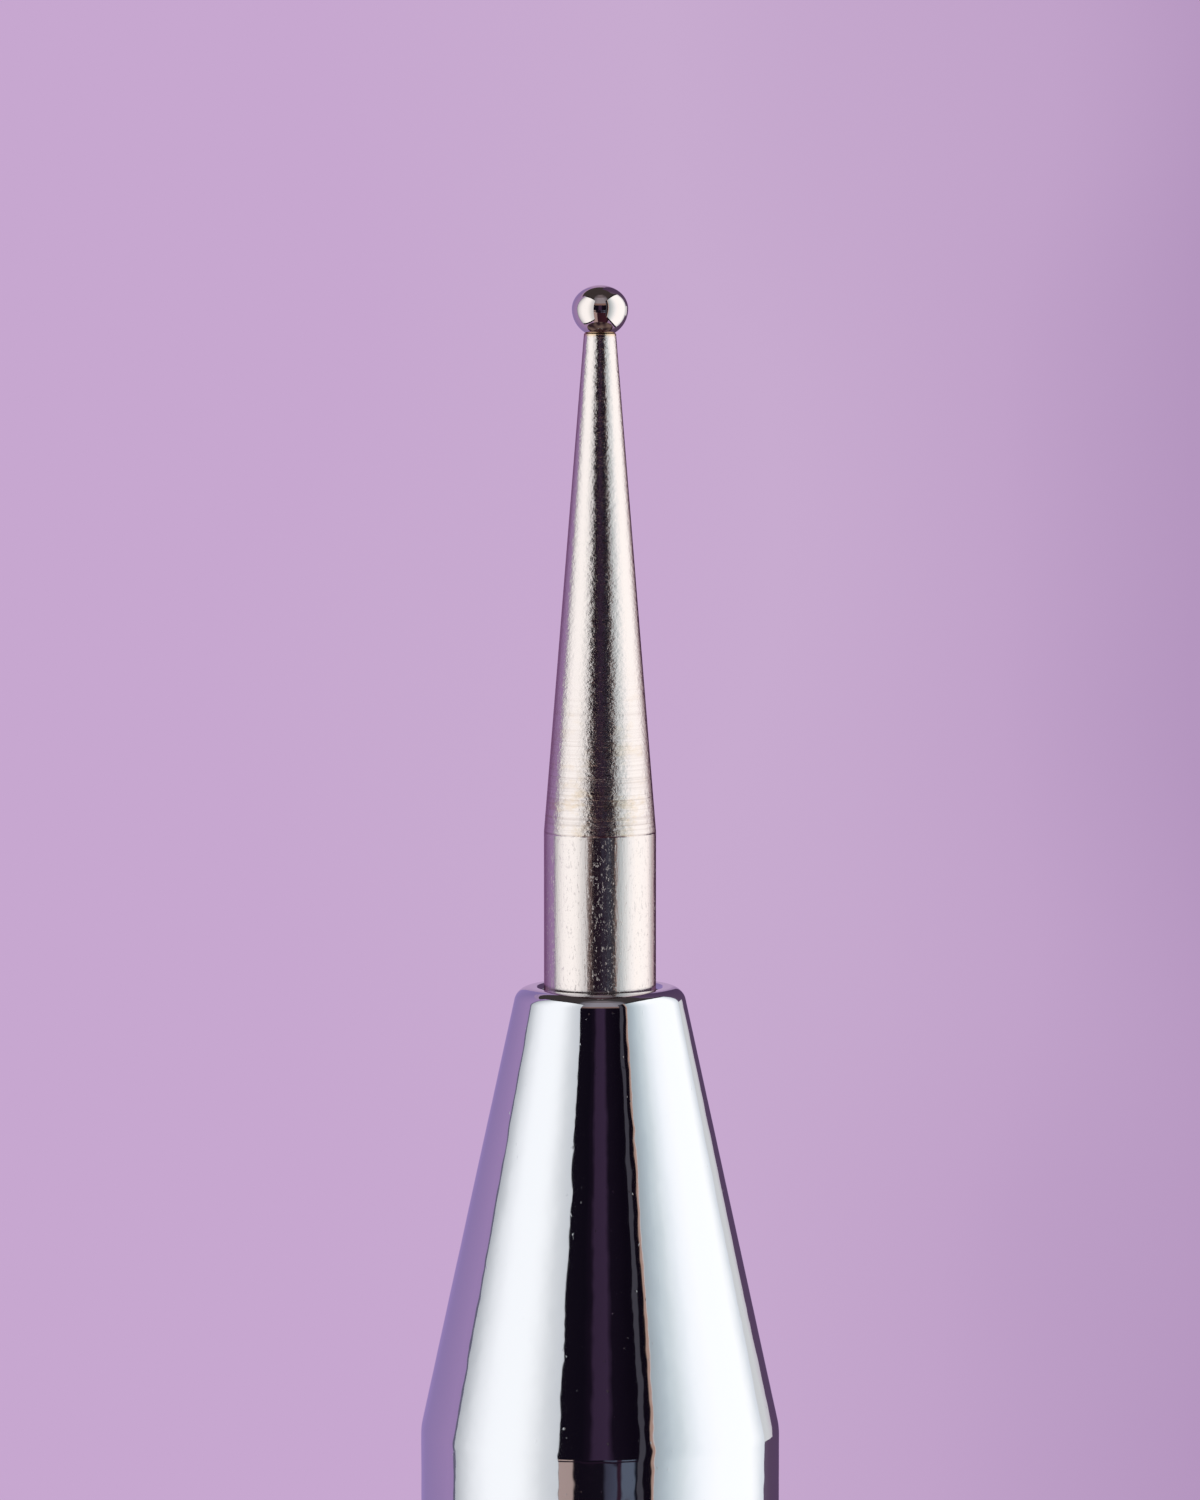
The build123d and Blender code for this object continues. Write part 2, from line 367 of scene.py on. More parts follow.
def turned_nickel(name, neck):
    """Nickel plate over a turned rod: a grainy warm taper, ringed at its foot, and a scratched shank."""
    material, tree, place = new_material(name)
    spot = add(tree, "SeparateXYZ", {"Vector": place})
    height = add(tree, "Math", {0: spot.outputs["Z"]}, operation="ABSOLUTE")
    foot = nose_rim + taper_foot_above_rim

    # Where the taper starts, where the turning rings show and the cut line at its foot, from 0 to 1
    on_taper = add(tree, "MapRange", {"Value": height, "From Min": (foot - FOOT_SOFTNESS) * MM,
                                      "From Max": (foot + FOOT_SOFTNESS) * MM})
    on_shank = add(tree, "Math", {0: 1.0, 1: on_taper}, operation="SUBTRACT")
    near_foot = add(tree, "MapRange", {"Value": height, "From Min": (foot + RINGS_END) * MM,
                                       "From Max": (foot + RINGS_FADE) * MM})
    ring_zone = add(tree, "Math", {0: on_taper, 1: near_foot}, operation="MULTIPLY")
    line_start = add(tree, "MapRange", {"Value": height, "From Min": (foot - FOOT_SOFTNESS) * MM,
                                        "From Max": (foot + FOOT_SOFTNESS / 2) * MM})
    line_end = add(tree, "MapRange", {"Value": height, "From Min": (foot + 3 * FOOT_SOFTNESS) * MM,
                                      "From Max": (foot + 3 * FOOT_SOFTNESS / 2) * MM})
    foot_line = add(tree, "Math", {0: line_start, 1: line_end}, operation="MULTIPLY")

    # Grain of the plate on the taper, rings round its foot, and scratches and gouges along the shank, all as
    # coarse as they are on a worn rod
    fine = add(tree, "Mapping", {"Vector": place, "Scale": cycles(0.17, 0.12)})
    grain = add(tree, "TexNoise", {"Vector": fine, "Scale": 1.0, "Detail": 3.0, "Roughness": 0.7})
    grain_here = add(tree, "Math", {0: grain, 1: on_taper}, operation="MULTIPLY")
    grained = add(tree, "Bump", {"Strength": 1.0, "Distance": GRAIN_HEIGHT, "Height": grain_here})
    level = add(tree, "Mapping", {"Vector": place, "Scale": cycles(30.0, 0.14)})
    rings = add(tree, "TexNoise", {"Vector": level, "Scale": 1.0, "Detail": 3.0, "Roughness": 0.8})
    rings_here = add(tree, "Math", {0: rings, 1: ring_zone}, operation="MULTIPLY")
    ringed = add(tree, "Bump", {"Strength": 1.0, "Distance": RING_HEIGHT, "Height": rings_here,
                                "Normal": grained})
    long = add(tree, "Mapping", {"Vector": place, "Scale": cycles(0.07, 0.40)})
    scratch = add(tree, "TexNoise", {"Vector": long, "Scale": 1.0, "Detail": 3.0, "Roughness": 0.6})
    scratch_here = add(tree, "Math", {0: scratch, 1: on_shank}, operation="MULTIPLY")
    scratched = add(tree, "Bump", {"Strength": 1.0, "Distance": SCRATCH_DEPTH, "Height": scratch_here,
                                   "Normal": ringed})
    short = add(tree, "Mapping", {"Vector": place, "Scale": cycles(0.06, 0.16)})
    wear = add(tree, "TexNoise", {"Vector": short, "Scale": 1.0, "Detail": 3.0, "Roughness": 0.8})
    gouges = add(tree, "ValToRGB", {"Fac": wear}, stops=[(0.60, grey(0)), (0.68, grey(1))])
    gouges_here = add(tree, "Math", {0: gouges, 1: on_shank}, operation="MULTIPLY")
    gouged = add(tree, "Bump", {"Strength": 1.0, "Distance": GOUGE_DEPTH, "Height": gouges_here,
                                "Normal": scratched})

    # Darker colour in the ring grooves and along the foot line, brownish stains among them, and the heat tint
    # at the braze
    grooves = add(tree, "ValToRGB", {"Fac": rings},
                  stops=[(0.34, grey(0.9)), (0.40, grey(0.4)), (0.54, grey(0))])
    lines = add(tree, "Math", {0: grooves, 1: ring_zone}, operation="MULTIPLY")
    cut = add(tree, "Math", {0: foot_line, 1: 0.5}, operation="MULTIPLY")
    darkest = add(tree, "Math", {0: lines, 1: cut}, operation="MAXIMUM")
    groove_darkening = add(tree, "Math", {0: darkest, 1: 0.55}, operation="MULTIPLY")
    base = add(tree, "Mix", {"Factor": groove_darkening, "A": linear("#C6BFBC"), "B": linear("#84726A")},
               data_type="RGBA")
    patchy = add(tree, "Mapping", {"Vector": place, "Scale": cycles(1.0, 0.5)})
    stains = add(tree, "TexNoise", {"Vector": patchy, "Scale": 1.0, "Detail": 4.0, "Roughness": 0.7})
    stained = add(tree, "ValToRGB", {"Fac": stains}, stops=[(0.52, grey(0)), (0.70, grey(0.45))])
    stained_here = add(tree, "Math", {0: stained, 1: ring_zone}, operation="MULTIPLY")
    worn = add(tree, "Mix", {"Factor": stained_here, "A": base, "B": linear("#B49C72")}, data_type="RGBA")
    heat = add(tree, "MapRange", {"Value": height, "From Min": (neck - HEAT_REACH) * MM,
                                  "From Max": neck * MM})
    tinted = add(tree, "Mix", {"Factor": heat, "A": worn, "B": linear("#C4A67E")}, data_type="RGBA")

    # The plate is duller where its grain is high and in the darkened ring grooves
    grain_haze = add(tree, "MapRange", {"Value": grain, "From Min": 0.3, "From Max": 0.7, "To Min": 0.09,
                                        "To Max": 0.18})
    line_haze = add(tree, "Math", {0: lines, 1: 0.18}, operation="MULTIPLY")
    rough = add(tree, "Math", {0: grain_haze, 1: line_haze}, operation="ADD")
    shader = add(tree, "BsdfPrincipled", {"Base Color": tinted, "Metallic": 1.0,
                                          "Specular Tint": linear("#C8A4AE"), "Roughness": rough,
                                          "Normal": gouged})
    add(tree, "OutputMaterial", {"Surface": shader})
    return material


def polished_steel():
    """Hardened steel, lapped and polished: a neutral mirror, slightly warm."""
    material, tree, place = new_material("polished_ball_steel")

    # The haze that lapping leaves is finer than a pixel, so it is drawn coarser, as soft patches of gloss
    wide = add(tree, "Mapping", {"Vector": place, "Scale": cycles(0.3, 0.3)})
    haze = add(tree, "TexNoise", {"Vector": wide, "Scale": 1.0})
    rough = add(tree, "MapRange", {"Value": haze, "To Min": 0.02, "To Max": 0.07})
    shader = add(tree, "BsdfPrincipled", {"Base Color": linear("#C6BFBC"), "Metallic": 1.0,
                                          "Roughness": rough})
    add(tree, "OutputMaterial", {"Surface": shader})
    return material


def fluted_nickel():
    """Nickel plate on the fluted grip: satin lands from tumbling, brighter at the edges of the flutes."""
    material, tree, place = new_material("tumbled_nickel_plate")

    # Tumbling marks run along the flutes. They are drawn twice as wide as real ones, so that they show.
    long = add(tree, "Mapping", {"Vector": place, "Scale": cycles(0.10, 0.7)})
    grain = add(tree, "TexNoise", {"Vector": long, "Scale": 1.0, "Detail": 3.0})
    bump = add(tree, "Bump", {"Strength": 1.0, "Distance": TUMBLE_HEIGHT, "Height": grain})
    rough = add(tree, "MapRange", {"Value": grain, "To Min": 0.16, "To Max": 0.30})
    shader = add(tree, "BsdfPrincipled", {"Base Color": linear("#BDB8B0"), "Metallic": 1.0,
                                          "Roughness": rough, "Normal": bump})
    add(tree, "OutputMaterial", {"Surface": shader})
    return material


def anodised_aluminium():
    """Satin anodised aluminium tube: fine lathe brushing round the tube under a soft clear oxide."""
    material, tree, place = new_material("satin_anodised_aluminium")

    # Brush lines round the tube, twice as coarse as real ones, so that they show
    level = add(tree, "Mapping", {"Vector": place, "Scale": cycles(5.0, 0.06)})
    brushing = add(tree, "TexNoise", {"Vector": level, "Scale": 1.0, "Detail": 3.0, "Roughness": 0.6})
    bump = add(tree, "Bump", {"Strength": 1.0, "Distance": BRUSHING_HEIGHT, "Height": brushing})
    rough = add(tree, "MapRange", {"Value": brushing, "To Min": 0.26, "To Max": 0.40})
    tone = add(tree, "ValToRGB", {"Fac": brushing},
               stops=[(0.35, linear("#C4C4C8")), (0.65, linear("#D2D2D6"))])
    shader = add(tree, "BsdfPrincipled", {"Base Color": tone, "Metallic": 1.0, "Roughness": rough,
                                          "Normal": bump})
    add(tree, "OutputMaterial", {"Surface": shader})
    return material


def turned_brass():
    """Free-cutting brass as it leaves the lathe: warm yellow with fine feed marks."""
    material, tree, place = new_material("turned_brass")

    # Feed marks at a lathe's usual feed of 0.08 mm a turn
    level = add(tree, "Mapping", {"Vector": place, "Scale": cycles(6.0, 0.08)})
    feed = add(tree, "TexNoise", {"Vector": level, "Scale": 1.0, "Detail": 2.0})
    bump = add(tree, "Bump", {"Strength": 1.0, "Distance": FEED_HEIGHT, "Height": feed})
    tone = add(tree, "ValToRGB", {"Fac": feed}, stops=[(0.35, linear("#C79A55")), (0.65, linear("#DDB571"))])
    shader = add(tree, "BsdfPrincipled", {"Base Color": tone, "Metallic": 1.0, "Roughness": 0.2,
                                          "Normal": bump})
    add(tree, "OutputMaterial", {"Surface": shader})
    return material


def black_rubber():
    """Nitrile rubber: dull black with a faint moulded grain."""
    material, tree, place = new_material("nitrile_rubber")

    # The grain of a spark-eroded mould, at its real scale
    fine = add(tree, "Mapping", {"Vector": place, "Scale": cycles(0.08, 0.08)})
    grain = add(tree, "TexNoise", {"Vector": fine, "Scale": 1.0, "Detail": 2.0})
    bump = add(tree, "Bump", {"Strength": 1.0, "Distance": MOULD_HEIGHT, "Height": grain})
    tone = add(tree, "ValToRGB", {"Fac": grain}, stops=[(0.3, linear("#161517")), (0.7, linear("#232124"))])
    shader = add(tree, "BsdfPrincipled", {"Base Color": tone, "Roughness": 0.62, "IOR": 1.52, "Normal": bump})
    add(tree, "OutputMaterial", {"Surface": shader})
    return material


def nose_cones(chrome):
    """The chromed cone noses: rounded rim and shoulder outside, closing taper and thread bore inside."""
    shoulder = nose_rim - nose_cone_length
    mouth_floor = nose_rim - mouth_length
    throat = nose_rim - throat_below_rim
    cone = turned("front_nose_chromed", [
        (nose_bore_radius, nose_foot),
        (nose_radius - nose_foot_chamfer, nose_foot, nose_edge_round),
        (nose_radius, nose_foot + nose_foot_chamfer, nose_edge_round),
        (nose_radius, shoulder, nose_shoulder_round),
        (nose_rim_radius, nose_rim, nose_rim_round),
        (mouth_radius + mouth_chamfer, nose_rim, nose_edge_round),
        (mouth_radius, nose_rim - mouth_chamfer, nose_edge_round),
        (mouth_radius, mouth_floor),
        (taper_mouth_radius, mouth_floor),
        (nose_head_bore_radius, mouth_floor - taper_length),
        (nose_head_bore_radius, throat),
        (nose_bore_radius, throat),
    ], closed=True)
    cutters = []
    reach = nose_radius + scallop_cutter_radius - scallop_depth
    for index in range(scallop_count):
        angle = 2 * pi * index / scallop_count
        deselect()
        bpy.ops.mesh.primitive_cylinder_add(vertices=CUTTER_STEPS, radius=scallop_cutter_radius,
                                            depth=2 * scallop_length,
                                            location=(reach * cos(angle), reach * sin(angle), nose_foot))
        cutter = bpy.context.object
        pick(cutter, lambda place: place.z > 0)
        bpy.ops.mesh.bevel(offset=scallop_end_round, segments=CUTTER_END_STEPS, affect="EDGES")
        bpy.ops.object.mode_set(mode="OBJECT")
        bpy.ops.object.transform_apply(location=True, rotation=False, scale=False)
        cutters.append(cutter)
    combine(cone, joined(cutters), "DIFFERENCE")
    rear = other_end(cone, "rear_nose_chromed")
    hand_over(cone, "front_nose_cone", "front_nose", chrome)
    hand_over(rear, "rear_nose_cone", "rear_nose", chrome)


def stem(name, node, neck_radius):
    """A turned stem, from its chamfered tail to the coned seat under the ball."""
    tail, neck = heights(node)
    taper_foot = nose_rim + taper_foot_above_rim
    seat_depth = neck_radius * ball_seat_share
    return turned(name, [
        (0, tail),
        (rod_radius - rod_tail_chamfer, tail, edge_round),
        (rod_radius, tail + rod_tail_chamfer, edge_round),
        (rod_radius, taper_foot, taper_foot_round),
        (neck_radius, neck, neck_round),
        (0, neck - seat_depth),
    ])


def stems():
    """Both stems."""
    fine = stem("fine_stem_turned", "fine_stem", fine_neck_radius)
    broad = stem("broad_stem_turned", "broad_stem", broad_neck_radius)
    flip_end_for_end(broad)
    fine_nickel = turned_nickel("turned_nickel_plate_fine", heights("fine_stem")[1])
    broad_nickel = turned_nickel("turned_nickel_plate_broad", heights("broad_stem")[1])
    hand_over(fine, "fine_stem", "front_tip", fine_nickel, sharp=40)
    hand_over(broad, "broad_stem", "rear_tip", broad_nickel, sharp=40)


def ball(name, node):
    """A ball whose crown is pressed a little lower than round, as use wears it."""
    foot, crown = heights(node)
    radius = (crown - foot) / (1 + crown_height_share)
    equator = foot + radius
    deselect()
    bpy.ops.mesh.primitive_uv_sphere_add(segments=BALL_SEGMENTS, ring_count=BALL_RINGS, radius=radius,
                                         location=(0, 0, equator))
    piece = bpy.context.object
    piece.name = name
    bpy.ops.object.transform_apply(location=True, rotation=False, scale=False)
    pick(piece, lambda place: place.z > equator + SAME_PLACE)
    bpy.ops.transform.resize(value=(1, 1, crown_height_share), center_override=(0, 0, equator))
    bpy.ops.object.mode_set(mode="OBJECT")
    return piece


def balls(steel):
    """Both balls."""
    fine = ball("fine_ball_polished", "fine_ball")
    broad = ball("broad_ball_polished", "broad_ball")
    flip_end_for_end(broad)
    hand_over(fine, "fine_ball", "front_tip", steel)
    hand_over(broad, "broad_ball", "rear_tip", steel)


def trim_rings(chrome):
    """The polished beads between grips and tube."""
    ring = turned("front_trim_polished", [
        (sleeve_bore_radius, tube_end),
        (trim_ring_radius - trim_ring_chamfer, tube_end, edge_round),
        (trim_ring_radius, tube_end + trim_ring_chamfer, 3 * edge_round),
        (trim_ring_radius, grip_foot - trim_ring_chamfer, 3 * edge_round),
        (trim_ring_radius - trim_ring_chamfer, grip_foot, edge_round),
        (sleeve_bore_radius, grip_foot),
    ], closed=True)
    rear = other_end(ring, "rear_trim_polished")
    hand_over(ring, "front_trim_ring", "barrel", chrome)
    hand_over(rear, "rear_trim_ring", "barrel", chrome)


def barrel_tube(aluminium):
    """The satin tube between the two ends."""
    tube = turned("barrel_tube_satin", [
        (sleeve_bore_radius, -tube_end),
        (nose_radius - end_chamfer, -tube_end, edge_round),
        (nose_radius, end_chamfer - tube_end, edge_round),
        (nose_radius, tube_end - end_chamfer, edge_round),
        (nose_radius - end_chamfer, tube_end, edge_round),
        (sleeve_bore_radius, tube_end),
    ], closed=True)
    hand_over(tube, "barrel_tube", "barrel", aluminium)


def fluted_bar(foot, length):
    """A bar with V flutes along it, whose edges and roots are rounded a little, as tumbling leaves them."""
    pitch = 2 * pi / flute_count
    half_mouth = asin(flute_depth / nose_radius)
    half_land = pitch / 2 - half_mouth
    corners = []
    for index in range(flute_count):
        middle = index * pitch
        for angle, radius, rounding in (
            (middle - half_mouth, nose_radius, flute_edge_round),
            (middle, nose_radius - flute_depth, flute_edge_round),
            (middle + half_mouth, nose_radius, flute_edge_round),
            (middle + half_mouth + half_land * 2 / 3, nose_radius, 0),
            (middle + half_mouth + half_land, nose_radius, 0),
            (middle + half_mouth + half_land * 4 / 3, nose_radius, 0),
        ):
            corners.append((Vector((radius * cos(angle), radius * sin(angle), foot)), rounding))
    bar = outline("fluted_bar", corners, closed=True)
    bpy.ops.object.mode_set(mode="EDIT")
    bpy.ops.mesh.select_all(action="SELECT")
    bpy.ops.mesh.edge_face_add()
    bpy.ops.mesh.extrude_region_move(TRANSFORM_OT_translate={"value": (0, 0, length)})
    bpy.ops.mesh.select_all(action="SELECT")
    bpy.ops.mesh.normals_make_consistent(inside=False)
    bpy.ops.object.mode_set(mode="OBJECT")
    return bar


def grip_sleeves(nickel):
    """The fluted grips: a chamfered sleeve with V flutes along it."""
    sleeve = turned("front_grip_fluted", [
        (sleeve_bore_radius, grip_foot),
        (nose_radius - end_chamfer, grip_foot),
        (nose_radius + end_chamfer, grip_foot + 2 * end_chamfer),
        (nose_radius + end_chamfer, grip_top - 2 * end_chamfer),
        (nose_radius - end_chamfer, grip_top),
        (sleeve_bore_radius, grip_top),
    ], closed=True)
    combine(sleeve, fluted_bar(grip_foot - OVERCUT, grip_top - grip_foot + 2 * OVERCUT), "INTERSECT")
    rear = other_end(sleeve, "rear_grip_fluted")
    hand_over(sleeve, "front_grip_sleeve", "barrel", nickel)
    hand_over(rear, "rear_grip_sleeve", "barrel", nickel)


def seal_rings(rubber):
    """The square-cut rubber rings under the nose cones."""
    ring = turned("front_seal_rubber", [
        (seal_bore_radius, seal_foot),
        (seal_ring_radius, seal_foot, edge_round),
        (seal_ring_radius, seal_top, edge_round),
        (seal_bore_radius, seal_top),
    ], closed=True)
    rear = other_end(ring, "rear_seal_rubber")
    hand_over(ring, "front_seal_ring", "barrel", rubber)
    hand_over(rear, "rear_seal_ring", "barrel", rubber)


def screw_thread(foot, top):
    """A length of right-hand thread, cut square at both ends and chamfered at the top."""
    half_flank = (thread_pitch - 2 * thread_crest) / 2
    start = foot - 2 * thread_pitch
    turns = ceil((top - start) / thread_pitch) + 2
    thread = outline("spigot_thread", section(
        (thread_root_radius, start),
        (thread_root_radius, start + thread_crest),
        (thread_radius, start + thread_crest + half_flank),
        (thread_radius, start + 2 * thread_crest + half_flank),
        (thread_root_radius, start + thread_pitch),
    ), closed=False)
    bpy.ops.object.mode_set(mode="OBJECT")
    apply_modifier(thread, "SCREW", axis="Z", angle=2 * pi, screw_offset=thread_pitch, iterations=turns,
                   steps=THREAD_STEPS, render_steps=THREAD_STEPS, use_merge_vertices=True,
                   merge_threshold=SAME_PLACE)
    bpy.ops.object.mode_set(mode="EDIT")
    bpy.ops.mesh.select_all(action="SELECT")
    bpy.ops.mesh.remove_doubles(threshold=SAME_PLACE)
    for height, below in ((foot, True), (top, False)):
        bpy.ops.mesh.select_all(action="SELECT")
        bpy.ops.mesh.bisect(plane_co=(0, 0, height), plane_no=(0, 0, 1), use_fill=True,
                            clear_inner=below, clear_outer=not below)
    bpy.ops.mesh.select_all(action="SELECT")
    bpy.ops.mesh.normals_make_consistent(inside=False)
    bpy.ops.object.mode_set(mode="OBJECT")
    envelope = turned("thread_envelope", [
        (0, foot - OVERCUT),
        (thread_radius + OVERCUT, foot - OVERCUT),
        (thread_radius + OVERCUT, top - thread_chamfer - OVERCUT),
        (thread_radius - thread_chamfer, top),
        (0, top + OVERCUT / 10),
    ], steps=THREAD_STEPS)
    combine(thread, envelope, "INTERSECT")
    return thread


def chuck_inserts(brass):
    """The brass inserts: stub, flange, seal land and threaded spigot, with the collet's seat and bore."""
    flange_top = spigot_face - spigot_length
    land_top = flange_top + seal_land_above_flange
    bore_floor = nose_rim - bore_floor_below_rim
    insert = turned("front_insert_brass", [
        (0, insert_foot),
        (stub_radius, insert_foot),
        (stub_radius, grip_top),
        (nose_radius, grip_top, edge_round),
        (nose_radius, flange_top - flange_chamfer, edge_round),
        (nose_radius - flange_chamfer, flange_top, edge_round),
        (seal_land_radius, flange_top),
        (seal_land_radius, land_top, edge_round),
        (thread_root_radius, land_top),
        (thread_root_radius, spigot_face - thread_chamfer / 2),
        (0, spigot_face - thread_chamfer / 2),
    ], steps=INSERT_STEPS)
    thread = screw_thread(flange_top + thread_foot_above_flange, spigot_face)
    combine(insert, thread, "UNION")
    bore = turned("collet_bore", [
        (0, bore_floor),
        (insert_bore_radius, bore_floor),
        (insert_bore_radius, spigot_face - seat_length),
        (seat_mouth_radius, spigot_face),
        (seat_mouth_radius, spigot_face + OVERCUT),
        (0, spigot_face + OVERCUT),
    ], steps=INSERT_STEPS)
    combine(insert, bore, "DIFFERENCE")
    rear = other_end(insert, "rear_insert_brass")
    hand_over(insert, "front_chuck_insert", "barrel", brass)
    hand_over(rear, "rear_chuck_insert", "barrel", brass)


def collets(brass):
    """The collets keep their solids, in brass."""
    for end in ("front", "rear"):
        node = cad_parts[f"{end}_collet"]
        node.data.materials.clear()
        node.data.materials.append(brass)


# Camera, in millimetres, with the picture's scale in pixels
AIM_HEIGHT = 64.22
CAMERA_DISTANCE = 215.0
CAMERA_ELEVATION = radians(5)
FOCAL_PIXELS = 7611
PICTURE_HEIGHT = 1500
SENSOR = 36.0
CLIP_START = 0.01
CLIP_END = 10

# Softboxes, in metres. Azimuths are in degrees from the camera's side of the tool towards the right.
LAMP_DISTANCE = 0.5
LAMP_BOTTOM = -0.46
LAMP_TOP = 0.80
LEFT_LAMP = (-106, -26.5)
LEFT_RADIANCE = 1.70
RIGHT_LAMP = (36, 132)
RIGHT_RADIANCE = 1.79
RIGHT_LAMP_LEAN = -8
RIM_WIDTH = 0.09
HOUSING_GAP = 0.002
RIM_STEP = 0.05

# Glow of the softboxes' cloth, as shares of the way from the left edge to the right edge
LEFT_GLOW = [(0.0, "#B0B2B6"), (0.17, "#DADBDD"), (0.33, "#F7F7F8"), (0.5, "#FFFFFF"), (0.68, "#F9F9F9"),
             (0.82, "#DEDFE0"), (1.0, "#CBCDD0")]
RIGHT_GLOW = [(0.0, "#9AA3A8"), (0.16, "#B8C1C5"), (0.27, "#D5DBDD"), (0.375, "#F1F3F5"), (0.5, "#FFFEFD"),
              (0.78, "#FFFEFD"), (0.9, "#E2E4E6"), (1.0, "#CED1D7")]

# Rims of the softboxes' housings, left and right of the cloth, as bands between two azimuths
LEFT_RIMS = ([(-116, -108.3, "#C4A2DA"), (-108.1, -106, "#7C7890")], [(-26.5, -26.2, "#1A1420")])
RIGHT_RIMS = ([(25.0, 25.3, "#130D19"), (25.6, 29.3, "#524F58"), (29.6, 33.6, "#130D19"),
               (34.0, 36, "#D4AE9E")], [(132, 136, "#74607A")])

# The floor, below the furthest reach of the lower ball, and the dark above and below, in metres
FLOOR_HEIGHT = -(heights("broad_ball")[1] + chuck_travel + tip_draw + floor_gap) * MM
FLOOR_RADIUS = 0.5
FLOOR_STEPS = 128
CEILING_PLACE = (0, -0.6, 4.2)
CEILING_RADIUS = 5.2
STAND_PLACE = (0, 0, -0.3)
STAND_RADIUS = 0.28
DISC_STEPS = 48
CARD_STEPS = 32


def on_circle(azimuth, distance, height=0.0):
    """A place at that azimuth and distance from the tool's axis."""
    turn = radians(azimuth)
    return Vector((distance * sin(turn), -distance * cos(turn), height))


def set_camera():
    """The photograph's view: a long lens, a little above the level of the tips."""
    data = bpy.data.cameras.new("camera")
    camera = bpy.data.objects.new("camera", data)
    bpy.context.scene.collection.objects.link(camera)
    data.sensor_width = SENSOR
    data.lens = FOCAL_PIXELS / PICTURE_HEIGHT * SENSOR
    data.clip_start = CLIP_START
    data.clip_end = CLIP_END
    camera.location = (0, -CAMERA_DISTANCE * cos(CAMERA_ELEVATION) * MM,
                       (AIM_HEIGHT + CAMERA_DISTANCE * sin(CAMERA_ELEVATION)) * MM)
    camera.rotation_euler = (pi / 2 - CAMERA_ELEVATION, 0, 0)
    bpy.context.scene.camera = camera


def softbox(name, azimuths, lean, radiance, glow, rims):
    """A flat lamp that spans those azimuths as seen from the tool, in a black housing with painted rims.

    Its cloth glows as the stops of glow say, from its left edge to its right edge. The rims on either side
    are painted in bands of (azimuth, azimuth, colour), from left to right.
    """
    middle = sum(azimuths) / 2
    width = 2 * LAMP_DISTANCE * tan(radians(azimuths[1] - azimuths[0]) / 2)
    height = LAMP_TOP - LAMP_BOTTOM
    data = bpy.data.lights.new(name, "AREA")
    data.shape = "RECTANGLE"
    data.size = width
    data.size_y = height
    data.energy = radiance * pi * width * height
    data.use_nodes = True
    tree = data.node_tree
    tree.nodes.clear()
    across = add(tree, "SeparateXYZ", {"Vector": add(tree, "NewGeometry").outputs["Parametric"]})
    cloth = add(tree, "ValToRGB", {"Fac": across}, stops=[(share, linear(code)) for share, code in glow])
    cloth.color_ramp.interpolation = "CARDINAL"
    add(tree, "OutputLight", {"Surface": add(tree, "Emission", {"Color": cloth})})
    lamp = bpy.data.objects.new(name, data)
    bpy.context.scene.collection.objects.link(lamp)
    facing = Euler((pi / 2, 0, radians(middle))).to_matrix() @ Euler((0, 0, radians(lean))).to_matrix()
    lamp.location = on_circle(middle, LAMP_DISTANCE, (LAMP_TOP + LAMP_BOTTOM) / 2)
    lamp.rotation_euler = facing.to_euler()
    lamp.visible_camera = False

    def reach(azimuth):
        """How far along its plane the housing is cut by that azimuth."""
        return LAMP_DISTANCE * tan(radians(azimuth - middle))

    left_end, right_end = reach(rims[0][0][0]), reach(rims[1][-1][1])
    deselect()
    bpy.ops.mesh.primitive_plane_add(size=1)
    housing = bpy.context.object
    housing.name = name + "_housing"
    housing.scale = (right_end - left_end, height + 2 * RIM_WIDTH, 1)
    housing.rotation_euler = facing.to_euler()
    aside = facing @ Vector(((left_end + right_end) / 2, 0, 0))
    housing.location = lamp.location * (1 + HOUSING_GAP / LAMP_DISTANCE) + aside
    material, tree, place = new_material(name + "_housing")
    across = add(tree, "SeparateXYZ", {"Vector": place})
    share = add(tree, "Math", {0: across, 1: 0.5}, operation="ADD")
    behind = [(azimuths[0] + RIM_STEP, azimuths[1] - RIM_STEP, "#000000")]
    stops = []
    for start, end, code in rims[0] + behind + rims[1]:
        for azimuth in (start, end):
            stops.append(((reach(azimuth) - left_end) / (right_end - left_end), linear(code)))
    paint = add(tree, "ValToRGB", {"Fac": share}, stops=stops)
    add(tree, "OutputMaterial", {"Surface": add(tree, "Emission", {"Color": paint})})
    staged(housing, material)


def staged(piece, material, casts_shadow=False):
    """Keeps a piece of the studio apart from the part, seen in the metal but not by the camera."""
    piece.data.materials.append(material)
    piece.visible_camera = False
    piece.visible_diffuse = False
    piece.visible_shadow = casts_shadow


